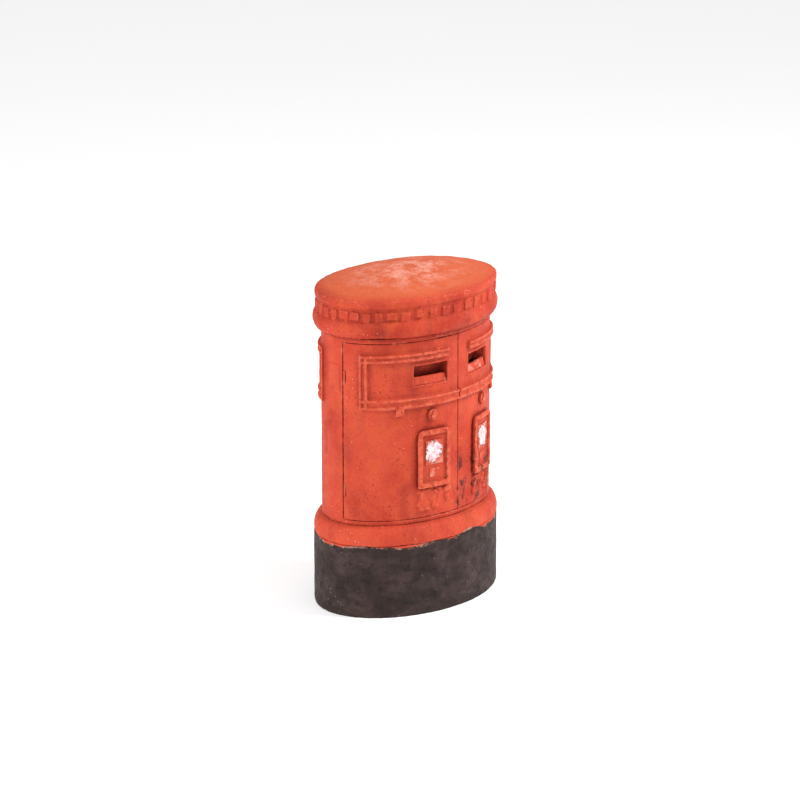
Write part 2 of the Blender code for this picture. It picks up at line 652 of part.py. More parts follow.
    case = mirrored_block(f"{word}_lock_case", side, LOCK_X, LOCK_Y, LOCK_Z)
    bolt_z = (BOSS_Z - BOLT_HALF, BOSS_Z + BOLT_HALF)
    bolt_y = (LOCK_Y[0] + 0.0005, LOCK_Y[0] + 0.0145)
    channel = mirrored_block(
        f"{word}_bolt_channel",
        side,
        (LOCK_X[0] - 0.010, BOLT_X[1] + 0.008),
        (bolt_y[0] - 0.010, bolt_y[1] + BOLT_CLEAR),
        (bolt_z[0] - BOLT_CLEAR, bolt_z[1] + BOLT_CLEAR),
    )
    combine(case, channel, "DIFFERENCE")
    as_piece(case, BRASS, 1.0, 0.4)
    as_piece(mirrored_block(f"{word}_lock_bolt", side, BOLT_X, bolt_y, bolt_z), STEEL, 1.0, 0.3)

    guard_z = (FLOOR_Z[1] + 0.004, GUARD_TOP)
    guard = mirrored_block(f"{word}_letter_guard", side, GUARD_X, GUARD_Y, guard_z)
    bars = 6
    clear = (GUARD_X[1] - GUARD_X[0] - 0.040) / bars
    for k in range(bars):
        x_low = GUARD_X[0] + 0.020 + k * clear + 0.004
        for row, (z_low, z_high) in enumerate(((0.470, 0.730), (0.750, 1.005))):
            window_x = (x_low, x_low + clear - 0.008)
            window = mirrored_block(
                f"{word}_guard_window_{k}_{row}", side, window_x, (-0.22, -0.18), (z_low, z_high)
            )
            combine(guard, window, "DIFFERENCE")
    as_piece(guard, GALVANISED, 0.8, 0.45)
    rails = {
        "inner": (DIVIDER_HALF + GAP, GUARD_X[0] + 0.012),
        "outer": (GUARD_X[1] - 0.012, GUARD_X[1] + 0.012),
    }
    for rail_word, rail_x in rails.items():
        rail = mirrored_block(
            f"{word}_{rail_word}_guard_rail", side, rail_x, (-0.212, -0.188), (FLOOR_Z[1] + GAP, 1.060)
        )
        groove = mirrored_block(
            f"{word}_{rail_word}_groove",
            side,
            (GUARD_X[0] - 0.001, GUARD_X[1] + 0.001),
            (GUARD_Y[0] - 0.0008, GUARD_Y[1] + 0.0008),
            (FLOOR_Z[1] + 0.0035, 1.10),
        )
        combine(rail, groove, "DIFFERENCE")
        as_piece(rail, GALVANISED, 0.6, 0.5)
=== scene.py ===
"""Looks for the oval pillar mailbox: cast, hand-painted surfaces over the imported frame."""

import json
import math
import random

import bmesh
import bpy
from mathutils import Matrix, Vector


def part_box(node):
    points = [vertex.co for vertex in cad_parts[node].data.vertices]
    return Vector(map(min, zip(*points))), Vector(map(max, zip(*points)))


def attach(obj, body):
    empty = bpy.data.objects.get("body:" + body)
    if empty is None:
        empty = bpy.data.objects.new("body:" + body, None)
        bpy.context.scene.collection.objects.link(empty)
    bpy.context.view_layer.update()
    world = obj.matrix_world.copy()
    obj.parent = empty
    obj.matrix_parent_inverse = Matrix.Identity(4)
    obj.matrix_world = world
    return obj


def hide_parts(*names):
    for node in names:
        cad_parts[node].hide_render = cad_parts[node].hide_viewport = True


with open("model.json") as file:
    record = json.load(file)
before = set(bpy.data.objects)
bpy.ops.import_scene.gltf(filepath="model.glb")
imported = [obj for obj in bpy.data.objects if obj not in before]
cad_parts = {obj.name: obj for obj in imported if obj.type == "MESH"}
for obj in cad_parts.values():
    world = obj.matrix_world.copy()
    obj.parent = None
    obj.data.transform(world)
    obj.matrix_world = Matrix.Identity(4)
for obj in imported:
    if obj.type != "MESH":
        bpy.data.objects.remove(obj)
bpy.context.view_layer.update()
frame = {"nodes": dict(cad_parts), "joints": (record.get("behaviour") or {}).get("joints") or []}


# ------------------------------------------------------------ sizes read from the frame
def joint_named(name):
    """One joint of the record."""
    return next(j for j in frame["joints"] if j["name"] == name)


WALL = 0.014
GAP = 0.0004
BODY_LOW, BODY_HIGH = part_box("body_casting")
DOOR_LOW, DOOR_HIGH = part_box("left_door")
PLINTH_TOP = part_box("base_plinth")[1].z
MOULDING_TOP = BODY_LOW.z - GAP
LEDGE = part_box("compartment_floor")[0].z - GAP
BODY_TOP = BODY_HIGH.z
DOOR_BOTTOM = DOOR_LOW.z
DOOR_TOP = DOOR_HIGH.z
CAP_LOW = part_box("dome_cap")[0].z
CAP_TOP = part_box("dome_cap")[1].z
BASE_OUT = 0.039
BODY_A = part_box("base_plinth")[1].x - BASE_OUT
BODY_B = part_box("base_plinth")[1].y - BASE_OUT
BELT = (1.000, 1.048)
TOP_BAR = (1.222, 1.260)
SLOT_Z = (1.102, 1.196)
SLOT_ANGLES = (9.0, 32.4)
BAR_ANGLES = (8.6, 64.0, 70.0)
REAR_ANGLE = 110.0
HINGE_ANGLE = 84.0
JAMB_ANGLE = 85.6
LIP_ANGLE = 81.0
PAD_ANGLES = (88.0, 101.0)
HINGE_LEVELS = (0.600, 1.150)
BOSS_ANGLE = {"left": 20.0, "right": 25.0}
BOSS_Z = 0.955
NOTICE_ANGLES = {"left": (7.9, 30.0), "right": (13.5, 36.0)}
NOTICE_Z = (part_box("left_notice_frame")[0].z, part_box("left_notice_frame")[1].z)
RIM_OUT = 0.025
DENTILS = 42


# ------------------------------------------------------------ shapes round the oval
def oval_point(angle, offset, z):
    """A point at an angle of the oval in degrees, an offset out of the body's face and a height."""
    t = math.radians(angle)
    return Vector(((BODY_A + offset) * math.sin(t), -(BODY_B + offset) * math.cos(t), z))


def oval_frame(angle, offset, z):
    """A matrix at a point of the oval: X along the face, Y up and Z out of the face."""
    t = math.radians(angle)
    outward = Vector((BODY_B * math.sin(t), -BODY_A * math.cos(t), 0.0)).normalized()
    along = Vector((BODY_A * math.cos(t), BODY_B * math.sin(t), 0.0)).normalized()
    rotation = Matrix((along, Vector((0.0, 0.0, 1.0)), outward)).transposed().to_4x4()
    return Matrix.Translation(oval_point(angle, offset, z)) @ rotation


def sweep(bm, profile, start, end, step=1.5, closed=False):
    """Carries a closed (offset, z) outline round the oval into bm."""
    steps = max(1, math.ceil(abs(end - start) / step))
    rings = []
    for index in range(steps if closed else steps + 1):
        angle = start + (end - start) * index / steps
        rings.append([bm.verts.new(oval_point(angle, offset, z)) for offset, z in profile])
    if closed:
        rings.append(rings[0])
    count = len(profile)
    faces = []
    for near, far in zip(rings, rings[1:]):
        for k in range(count):
            faces.append(bm.faces.new((near[k], near[(k + 1) % count], far[(k + 1) % count], far[k])))
    if not closed:
        faces.append(bm.faces.new(rings[0]))
        faces.append(bm.faces.new(list(reversed(rings[-1]))))
    bmesh.ops.recalc_face_normals(bm, faces=faces)


def band(low_offset, high_offset, low, high):
    """A plain rectangular outline."""
    return [(low_offset, low), (high_offset, low), (high_offset, high), (low_offset, high)]


def moulded(low, high, proud=0.0180, groove=0.0095, bead=0.014):
    """The outline of a raised bar: a round bead along each edge and a groove between."""
    outline = [(-0.005, low)]
    for centre in (low + bead / 2.0, high - bead / 2.0):
        for k in range(5):
            turn = math.pi * (k / 4.0)
            offset = groove + (proud - groove) * math.sin(turn)
            outline.append((offset, centre - bead / 2.0 * math.cos(turn)))
    outline.append((-0.005, high))
    return outline


def lump(bm, angle, z, size, out, shift=0.0, turn=0.0):
    """A box square to the face at one angle; size is (along, up), out its two offsets."""
    local = Matrix.Translation((shift, 0.0, (out[0] + out[1]) / 2.0)) @ Matrix.Rotation(turn, 4, "Z")
    scale = Matrix.Diagonal((size[0], size[1], out[1] - out[0], 1.0))
    bmesh.ops.create_cube(bm, size=1.0, matrix=oval_frame(angle, 0.0, z) @ local @ scale)


def blob(bm, angle, z, size, rise, shift=0.0, turn=0.0):
    """A half-sunk flattened ball on the face; size is (along, up), rise its height out of the face."""
    local = Matrix.Translation((shift, 0.0, -0.001)) @ Matrix.Rotation(turn, 4, "Z")
    scale = Matrix.Diagonal((size[0] / 2.0, size[1] / 2.0, rise + 0.001, 1.0))
    matrix = oval_frame(angle, 0.0, z) @ local @ scale
    bmesh.ops.create_icosphere(bm, subdivisions=3, radius=1.0, matrix=matrix)


def stud(bm, angle, z, radii, out, segments=48, shift=0.0):
    """A round stud square to the face at one angle; radii are its inner and outer end's."""
    local = Matrix.Translation((shift, 0.0, (out[0] + out[1]) / 2.0))
    bmesh.ops.create_cone(
        bm,
        cap_ends=True,
        segments=segments,
        radius1=radii[0],
        radius2=radii[1],
        depth=out[1] - out[0],
        matrix=oval_frame(angle, 0.0, z) @ local,
    )


def upright(bm, centre, radius, low, high, segments=32):
    """A vertical round bar."""
    matrix = Matrix.Translation((centre[0], centre[1], (low + high) / 2.0))
    bmesh.ops.create_cone(
        bm,
        cap_ends=True,
        segments=segments,
        radius1=radius,
        radius2=radius,
        depth=high - low,
        matrix=matrix,
    )


CAST_LUMPS = ((0.09, 0.0030), (0.018, 0.0018))
clouds = {}


def cloud_texture(size):
    """A soft procedural noise of one size, shared by the displacements."""
    if size not in clouds:
        made = bpy.data.textures.new(f"cast_noise_{len(clouds)}", "CLOUDS")
        made.noise_scale = size
        made.noise_depth = 2
        clouds[size] = made
    return clouds[size]


def bake_modifiers(obj):
    """Replaces an object's mesh with its evaluated one."""
    graph = bpy.context.evaluated_depsgraph_get()
    mesh = bpy.data.meshes.new_from_object(obj.evaluated_get(graph))
    obj.modifiers.clear()
    obj.data = mesh


def casting(name, bm, voxel, body, node, material, lumps=CAST_LUMPS, smooth=3):
    """Melts overlapping solids into one cast skin with soft edges and an uneven surface."""
    mesh = bpy.data.meshes.new(name)
    bm.to_mesh(mesh)
    bm.free()
    obj = bpy.data.objects.new(name, mesh)
    bpy.context.scene.collection.objects.link(obj)
    melt = obj.modifiers.new("melt", "REMESH")
    melt.mode = "VOXEL"
    melt.voxel_size = voxel
    if smooth:
        soften = obj.modifiers.new("soften", "SMOOTH")
        soften.factor = 0.5
        soften.iterations = smooth
    for size, strength in lumps:
        rough = obj.modifiers.new("rough", "DISPLACE")
        rough.texture = cloud_texture(size)
        rough.texture_coords = "LOCAL"
        rough.strength = strength
        rough.mid_level = 0.5
    bake_modifiers(obj)
    for face in obj.data.polygons:
        face.use_smooth = True
    obj.data.materials.clear()
    obj.data.materials.append(material)
    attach(obj, body)
    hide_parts(node)
    return obj


# ------------------------------------------------------------ materials
class Sheet:
    """A short way to write a node tree."""

    def __init__(self, name):
        self.material = bpy.data.materials.new(name)
        self.material.use_nodes = True
        self.tree = self.material.node_tree
        self.shader = self.tree.nodes["Principled BSDF"]
        self.coords = self.tree.nodes.new("ShaderNodeTexCoord").outputs["Object"]

    def link(self, source, target):
        self.tree.links.new(source, target)

    def noise(self, scale, detail=4.0, rough=0.55, stretch=None, distortion=0.0):
        made = self.tree.nodes.new("ShaderNodeTexNoise")
        made.inputs["Scale"].default_value = scale
        made.inputs["Detail"].default_value = detail
        made.inputs["Roughness"].default_value = rough
        made.inputs["Distortion"].default_value = distortion
        source = self.coords
        if stretch:
            mapping = self.tree.nodes.new("ShaderNodeMapping")
            mapping.inputs["Scale"].default_value = stretch
            self.link(self.coords, mapping.inputs["Vector"])
            source = mapping.outputs["Vector"]
        self.link(source, made.inputs["Vector"])
        return made.outputs["Fac"]

    def cells(self, scale):
        made = self.tree.nodes.new("ShaderNodeTexVoronoi")
        made.inputs["Scale"].default_value = scale
        self.link(self.coords, made.inputs["Vector"])
        return made.outputs["Distance"]

    def remap(self, source, low, high, out_low=0.0, out_high=1.0):
        made = self.tree.nodes.new("ShaderNodeMapRange")
        made.clamp = True
        made.inputs["From Min"].default_value = low
        made.inputs["From Max"].default_value = high
        made.inputs["To Min"].default_value = out_low
        made.inputs["To Max"].default_value = out_high
        self.link(source, made.inputs["Value"])
        return made.outputs["Result"]

    def math(self, operation, first, second):
        made = self.tree.nodes.new("ShaderNodeMath")
        made.operation = operation
        for socket, value in zip(made.inputs, (first, second)):
            if isinstance(value, (int, float)):
                socket.default_value = value
            else:
                self.link(value, socket)
        return made.outputs["Value"]

    def times(self, first, second):
        return self.math("MULTIPLY", first, second)

    def plus(self, first, second):
        return self.math("ADD", first, second)

    def root(self, value):
        return self.math("SQRT", value, 0.0)

    def mix(self, factor, first, second):
        made = self.tree.nodes.new("ShaderNodeMix")
        made.data_type = "RGBA"
        colours = [socket for socket in made.inputs if socket.type == "RGBA"]
        for socket, value in zip((made.inputs[0], *colours[:2]), (factor, first, second)):
            if isinstance(value, (int, float)):
                socket.default_value = value
            elif isinstance(value, tuple):
                socket.default_value = (*value, 1.0)
            else:
                self.link(value, socket)
        return next(s for s in made.outputs if s.type == "RGBA")

    def axis(self, name):
        made = self.tree.nodes.new("ShaderNodeSeparateXYZ")
        self.link(self.coords, made.inputs[0])
        return made.outputs[name]

    def edges(self, low, high):
        made = self.tree.nodes.new("ShaderNodeNewGeometry")
        return self.remap(made.outputs["Pointiness"], low, high)

    def occlusion(self, distance):
        made = self.tree.nodes.new("ShaderNodeAmbientOcclusion")
        made.samples = 6
        made.inputs["Distance"].default_value = distance
        return made.outputs["AO"]

    def bump(self, height, strength, distance, previous=None):
        made = self.tree.nodes.new("ShaderNodeBump")
        made.inputs["Strength"].default_value = strength
        made.inputs["Distance"].default_value = distance
        self.link(height, made.inputs["Height"])
        if previous:
            self.link(previous, made.inputs["Normal"])
        return made.outputs["Normal"]

    def finish(self, colour, roughness, normal=None, metallic=0.0, specular=0.22):
        self.link(colour, self.shader.inputs["Base Color"])
        if isinstance(roughness, (int, float)):
            self.shader.inputs["Roughness"].default_value = roughness
        else:
            self.link(roughness, self.shader.inputs["Roughness"])
        self.shader.inputs["Metallic"].default_value = metallic
        self.shader.inputs["Specular IOR Level"].default_value = specular
        if normal:
            self.link(normal, self.shader.inputs["Normal"])
        return self.material


VERMILION = (0.46, 0.034, 0.013)
VERMILION_LIGHT = (0.62, 0.072, 0.032)
VERMILION_DARK = (0.17, 0.012, 0.007)
ORANGE = (0.60, 0.082, 0.022)
DOME_TOP_HIGHLIGHT = (0.62, 0.120, 0.040)
RAISED_BAR_HIGHLIGHT = (0.70, 0.135, 0.066)
PALE_SPECK = (0.62, 0.52, 0.50)
DAB_WHITE = (0.86, 0.74, 0.78)
DAB_SHADE = (0.62, 0.36, 0.36)
SLOT_SHADE_RED = (0.30, 0.026, 0.014)
SLOT_SHADE_RED_LIGHT = (0.44, 0.045, 0.024)
TORN = (0.085, 0.009, 0.007)
RUBBED = (0.82, 0.42, 0.33)
SOOT = (0.026, 0.014, 0.012)
SOOT_LIGHT = (0.064, 0.038, 0.034)
SOOT_DARK = (0.010, 0.006, 0.006)


def oval_radius(sheet, half_x, half_y, middle_x=0.0, middle_y=0.0):
    """How far out a point is from an upright oval's middle: 1 is on the oval."""
    x = sheet.times(sheet.plus(sheet.axis("X"), -middle_x), 1.0 / half_x)
    y = sheet.times(sheet.plus(sheet.axis("Y"), -middle_y), 1.0 / half_y)
    return sheet.root(sheet.plus(sheet.times(x, x), sheet.times(y, y)))


def red_colour(sheet, highlight_lift=0.0):
    """Brushed vermilion: broad tone shifts (the lift argument lightens the broad tone as a painted
    highlight), painted shade in recesses, pale edges that are part wear and part painted highlight,
    painted highlights on raised bars and small chips.
    """
    broad = sheet.remap(sheet.noise(3.5, 4.0), 0.36 - highlight_lift, 0.66 - highlight_lift)
    colour = sheet.mix(broad, VERMILION, VERMILION_LIGHT)
    colour = sheet.mix(sheet.remap(sheet.noise(14.0, 5.0), 0.48, 0.70, 0.0, 0.6), colour, ORANGE)
    grime = sheet.remap(sheet.noise(7.0, 6.0, 0.62, (1.0, 1.0, 0.45)), 0.50, 0.74, 0.0, 0.45)
    colour = sheet.mix(grime, colour, VERMILION_DARK)
    grain = sheet.noise(110.0, 5.0, 0.7)
    colour = sheet.mix(sheet.remap(grain, 0.52, 0.72, 0.0, 0.45), colour, VERMILION_DARK)
    colour = sheet.mix(sheet.remap(grain, 0.46, 0.28, 0.0, 0.35), colour, VERMILION_LIGHT)
    # Painted shade: ambient occlusion darkens the red in recesses, creases and gaps.
    recess_shade = sheet.remap(sheet.occlusion(0.030), 0.90, 0.38, 0.0, 0.92)
    colour = sheet.mix(recess_shade, colour, VERMILION_DARK)
    # Pale edges: part paint wear, part painted highlight laid along every raised edge.
    worn_patches = sheet.remap(sheet.noise(34.0, 5.0), 0.38, 0.60, 0.15, 0.9)
    edge_wear_and_highlight = sheet.times(sheet.edges(0.508, 0.540), worn_patches)
    colour = sheet.mix(sheet.times(edge_wear_and_highlight, 0.7), colour, VERMILION_LIGHT)
    rubbed_patches = sheet.remap(sheet.noise(16.0, 6.0, 0.6), 0.52, 0.64, 0.0, 0.55)
    edge_rub_and_highlight = sheet.times(sheet.edges(0.520, 0.560), rubbed_patches)
    colour = sheet.mix(edge_rub_and_highlight, colour, RUBBED)

    z = sheet.axis("Z")
    # Painted highlight: the raised bars of the body are lightened in mottled patches.
    on_body = sheet.times(sheet.remap(z, 0.47, 0.50), sheet.remap(z, 1.31, 1.28))
    proud = sheet.times(sheet.remap(oval_radius(sheet, BODY_A, BODY_B), 1.025, 1.042), on_body)
    mottled = sheet.remap(sheet.noise(40.0, 6.0, 0.65), 0.40, 0.60, 0.0, 0.8)
    colour = sheet.mix(sheet.times(proud, mottled), colour, RAISED_BAR_HIGHLIGHT)
    flaked = sheet.remap(sheet.noise(55.0, 6.0, 0.7), 0.56, 0.62, 0.0, 0.6)
    colour = sheet.mix(sheet.times(proud, flaked), colour, VERMILION_DARK)

    right_side = sheet.remap(sheet.axis("X"), -0.03, 0.01)
    low_right = sheet.times(sheet.remap(z, 0.76, 0.68), right_side)
    zone = sheet.times(low_right, sheet.remap(z, 0.44, 0.48))
    torn = sheet.remap(sheet.noise(26.0, 7.0, 0.75, (1.0, 1.0, 0.6)), 0.54, 0.57, 0.0, 0.9)
    front = sheet.remap(sheet.axis("Y"), -0.20, -0.25)
    colour = sheet.mix(sheet.times(sheet.times(zone, front), torn), colour, TORN)

    pitted = sheet.remap(sheet.noise(5.0), 0.53, 0.61)
    pit = sheet.times(sheet.remap(sheet.cells(50.0), 0.24, 0.10), pitted)
    colour = sheet.mix(sheet.times(pit, 0.85), colour, VERMILION_DARK)
    dusty = sheet.remap(sheet.noise(9.0), 0.54, 0.60)
    dust = sheet.times(sheet.remap(sheet.cells(47.0), 0.12, 0.07), dusty)
    return sheet.mix(sheet.times(dust, 0.85), colour, RUBBED)


def paint_bump(sheet, strength=1.0):
    """Brush marks, orange peel and cast grain."""
    grain = sheet.bump(sheet.noise(260.0, 4.0, 0.65), 0.75 * strength, 0.0016)
    peel = sheet.bump(sheet.noise(75.0, 4.0, 0.6), 0.8 * strength, 0.0034, grain)
    brushed = sheet.bump(sheet.noise(26.0, 5.0, 0.55, (1.0, 1.0, 0.4)), 0.8 * strength, 0.0065, peel)
    return sheet.bump(sheet.noise(9.0, 3.0), 0.8 * strength, 0.012, brushed)


def red_paint(name):
    sheet = Sheet(name)
    roughness = sheet.remap(sheet.noise(18.0), 0.3, 0.7, 0.50, 0.78)
    return sheet.finish(red_colour(sheet), roughness, paint_bump(sheet))


def slot_shade_red(name):
    """Dull red darkened as painted shade inside the slots."""
    sheet = Sheet(name)
    colour = sheet.mix(sheet.remap(sheet.noise(30.0, 5.0), 0.4, 0.65), SLOT_SHADE_RED, SLOT_SHADE_RED_LIGHT)
    return sheet.finish(colour, 0.75, paint_bump(sheet, 0.5))


def cap_paint(name):
    """The red paint with a painted highlight over the top of the dome, pale patches of wear on it and a
    pale line along its rim, a painted highlight.
    """
    sheet = Sheet(name)
    colour = red_colour(sheet)
    z = sheet.axis("Z")
    # Painted highlight: the top of the dome is lightened towards orange as if lit from above.
    on_top = sheet.remap(z, CAP_TOP - 0.064, CAP_TOP - 0.046)
    colour = sheet.mix(sheet.times(on_top, 0.72), colour, DOME_TOP_HIGHLIGHT)
    middle = sheet.remap(oval_radius(sheet, 0.36, 0.27, -0.02, -0.03), 1.05, 0.35)
    patch = sheet.remap(sheet.noise(11.0, 8.0, 0.72), 0.44, 0.58)
    fine = sheet.remap(sheet.noise(70.0, 6.0, 0.7), 0.34, 0.62, 0.15, 1.0)
    rub = sheet.times(sheet.times(patch, fine), sheet.times(on_top, middle))
    colour = sheet.mix(sheet.times(rub, 0.85), colour, RUBBED)
    # Painted highlight: a pale, streaked line along the edge of the rim.
    above_frieze = sheet.remap(z, CAP_TOP - 0.085, CAP_TOP - 0.072)
    rim = sheet.times(sheet.edges(0.52, 0.57), above_frieze)
    streak = sheet.remap(sheet.noise(14.0, 5.0), 0.46, 0.60, 0.0, 0.75)
    colour = sheet.mix(sheet.times(rim, streak), colour, RUBBED)
    roughness = sheet.remap(sheet.noise(18.0), 0.3, 0.7, 0.55, 0.82)
    return sheet.finish(colour, roughness, paint_bump(sheet, 1.2))


def plinth_paint(name):
    """Sooty black below a hand-painted, wavering line and red above it."""
    sheet = Sheet(name)
    # The red above the black line is lifted lighter: painted highlight on the upward face of the
    # moulding.
    red = red_colour(sheet, 0.10)
    black = sheet.mix(sheet.remap(sheet.noise(8.0, 5.0, 0.65), 0.40, 0.66), SOOT, SOOT_LIGHT)
    smoke = sheet.remap(sheet.noise(16.0, 6.0, 0.65, (1.0, 1.0, 1.6)), 0.48, 0.66, 0.0, 0.85)
    black = sheet.mix(smoke, black, SOOT_DARK)
    grain = sheet.remap(sheet.noise(110.0, 5.0, 0.7), 0.54, 0.72, 0.0, 0.5)
    black = sheet.mix(grain, black, SOOT_LIGHT)
    specked = sheet.remap(sheet.noise(7.0), 0.50, 0.58)
    speck = sheet.times(sheet.remap(sheet.cells(55.0), 0.10, 0.06), specked)
    black = sheet.mix(sheet.times(speck, 0.8), black, PALE_SPECK)
    wander = sheet.remap(sheet.noise(4.0, 3.0, 0.45), 0.25, 0.75, -0.034, 0.030)
    level = sheet.math("SUBTRACT", sheet.axis("Z"), wander)
    split = sheet.remap(level, PLINTH_TOP - 0.002, PLINTH_TOP + 0.002)
    colour = sheet.mix(split, black, red)
    edge = sheet.remap(level, PLINTH_TOP - 0.012, PLINTH_TOP)
    smear = sheet.remap(sheet.noise(24.0, 5.0, 0.7), 0.50, 0.60, 0.0, 0.7)
    lip = sheet.times(sheet.times(edge, sheet.math("SUBTRACT", 1.0, split)), smear)
    colour = sheet.mix(lip, colour, RUBBED)
    roughness = sheet.remap(sheet.noise(30.0), 0.3, 0.7, 0.55, 0.8)
    return sheet.finish(colour, roughness, paint_bump(sheet))


def dabbed_plate(name, node):
    """White paint dabbed on the middle of a plate in a ragged patch, with red round it."""
    sheet = Sheet(name)
    low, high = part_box(node)
    centre = (low + high) / 2.0
    half = (high - low) / 2.0
    squares = []
    for axis, place, reach in zip("XYZ", centre, half):
        share = 0.95 if axis == "Z" else 0.92
        along = sheet.times(sheet.plus(sheet.axis(axis), -place), 1.0 / (reach * share))
        squares.append(sheet.times(along, along))
    level = sheet.times(sheet.plus(squares[0], squares[1]), 0.5)
    total = sheet.plus(level, squares[2])
    ragged = sheet.plus(total, sheet.remap(sheet.noise(36.0, 7.0, 0.75), 0.2, 0.8, -1.1, 1.1))
    dab = sheet.remap(ragged, 1.0, 0.9)
    white = sheet.mix(sheet.remap(sheet.noise(60.0, 5.0), 0.4, 0.65), DAB_WHITE, DAB_SHADE)
    colour = sheet.mix(dab, red_colour(sheet), white)
    height = sheet.plus(sheet.noise(85.0, 5.0, 0.65), dab)
    return sheet.finish(colour, 0.55, sheet.bump(height, 0.9, 0.004))


def metal(name, colour, dark, roughness, scale=60.0, spangle=False):
    """Plain metal with stains, fine scratches and uneven polish."""
    sheet = Sheet(name)
    tone = sheet.remap(sheet.noise(scale * 0.3, 6.0, 0.6), 0.35, 0.7)
    mixed = sheet.mix(tone, colour, dark)
    if spangle:
        flake = sheet.remap(sheet.cells(scale), 0.1, 0.6, 0.0, 0.5)
        mixed = sheet.mix(flake, mixed, tuple(channel * 1.25 for channel in colour))
    scratches = sheet.noise(scale * 4.0, 3.0, 0.5, (1.0, 1.0, 0.08))
    uneven = sheet.remap(sheet.noise(scale), 0.3, 0.7, roughness - 0.1, roughness + 0.15)
    return sheet.finish(mixed, uneven, sheet.bump(scratches, 0.3, 0.0005), 1.0, 0.5)


RED = red_paint("red_paint")
CAP_RED = cap_paint("cap_paint")
HOOD_SHADE_RED = slot_shade_red("hood_paint")
PLINTH = plinth_paint("plinth_paint")
PLATES = {word: dabbed_plate(f"{word}_plate_paint", f"{word}_notice_plate") for word in ("left", "right")}
STEEL = metal("dark_steel", (0.40, 0.40, 0.41), (0.16, 0.13, 0.11), 0.42)
BRASS = metal("old_brass", (0.60, 0.43, 0.18), (0.28, 0.19, 0.09), 0.38)
ZINC = metal("zinc_sheet", (0.48, 0.50, 0.52), (0.34, 0.35, 0.37), 0.45, 40.0, True)

for node, obj in frame["nodes"].items():
    side_word, word = node.split("_", 1)
    if node.startswith(("cap_bolt", "floor_screw")) or "hinge_pin" in node or word == "lock_bolt":
        chosen = STEEL
    elif word == "lock_case":
        chosen = BRASS
    elif "guard" in node or node.startswith("compartment"):
        chosen = ZINC
    elif word == "notice_plate":
        chosen = PLATES[side_word]
    else:
        chosen = RED
    for material_slot in obj.material_slots:
        material_slot.material = chosen

# ------------------------------------------------------------ plinth
bm = bmesh.new()
sweep(
    bm,
    [
        (BASE_OUT - 0.003, 0.0),
        (BASE_OUT, 0.008),
        (BASE_OUT, PLINTH_TOP - 0.0002),
        (BASE_OUT - 0.050, PLINTH_TOP - 0.0002),
        (BASE_OUT - 0.050, PLINTH_TOP - 0.016),
        (BASE_OUT - 0.018, PLINTH_TOP - 0.022),
        (BASE_OUT - 0.018, 0.022),
        (BASE_OUT - 0.060, 0.016),
        (BASE_OUT - 0.060, 0.0),
    ],
    0.0,
    360.0,
    closed=True,
)
lumps = ((0.12, 0.004), (0.025, 0.002))
casting("plinth_skin", bm, 0.0055, "pillar", "base_plinth", PLINTH, lumps)

bm = bmesh.new()
low = PLINTH_TOP + GAP
moulding_profile = [(-0.045, low), (BASE_OUT - 0.001, low)]
for k in range(9):
    turn = math.radians(90.0 * k / 8.0)
    offset = 0.006 + (BASE_OUT - 0.005) * math.cos(turn)
    moulding_profile.append((offset, low + 0.020 + 0.064 * math.sin(turn)))
moulding_profile += [(0.002, MOULDING_TOP), (-WALL, MOULDING_TOP), (-WALL, LEDGE), (-0.045, LEDGE)]
sweep(bm, moulding_profile, 0.0, 360.0, closed=True)
lumps = ((0.10, 0.004), (0.02, 0.0016))
casting("moulding_skin", bm, 0.0045, "pillar", "plinth_moulding", PLINTH, lumps)

# ------------------------------------------------------------ body
bm = bmesh.new()
sweep(bm, band(-WALL, 0.0, MOULDING_TOP + GAP, BODY_TOP), JAMB_ANGLE, 360.0 - JAMB_ANGLE)
sweep(bm, band(-WALL, 0.0, MOULDING_TOP + GAP, DOOR_BOTTOM - 0.0010), -JAMB_ANGLE - 0.5, JAMB_ANGLE + 0.5)
sweep(bm, band(-WALL, 0.0, DOOR_TOP + 0.0011, BODY_TOP), -JAMB_ANGLE - 0.5, JAMB_ANGLE + 0.5)
sweep(bm, band(-0.030, -WALL - 0.0015, MOULDING_TOP + GAP, DOOR_BOTTOM + 0.014), -LIP_ANGLE, LIP_ANGLE)
sweep(bm, band(-0.030, -0.006, MOULDING_TOP + GAP, DOOR_BOTTOM - 0.002), -LIP_ANGLE, LIP_ANGLE)
sweep(bm, band(-0.042, -WALL - 0.0015, DOOR_TOP - 0.010, BODY_TOP), -LIP_ANGLE, LIP_ANGLE)
sweep(bm, band(-0.042, -0.006, DOOR_TOP + 0.002, BODY_TOP), -LIP_ANGLE, LIP_ANGLE)
for low, high in (BELT, TOP_BAR):
    sweep(bm, moulded(low, high), REAR_ANGLE, 360.0 - REAR_ANGLE)
for start in (REAR_ANGLE, 354.0 - REAR_ANGLE):
    sweep(bm, band(-0.005, 0.0095, BELT[0] + 0.006, TOP_BAR[1] - 0.006), start, start + 6.0)
    for place in (start, start + 4.2):
        sweep(bm, band(-0.004, 0.0172, BELT[0] + 0.005, TOP_BAR[1] - 0.005), place, place + 1.8, 0.6)
for side in (-1.0, 1.0):
    sweep(bm, band(-0.004, 0.006, 1.070, 1.200), side * PAD_ANGLES[0], side * PAD_ANGLES[1])
for angle in (150.0, 210.0):
    upright(bm, oval_point(angle, -0.028, 0.0), 0.020, 1.300, BODY_TOP - GAP)
casting("body_skin", bm, 0.0038, "pillar", "body_casting", RED)

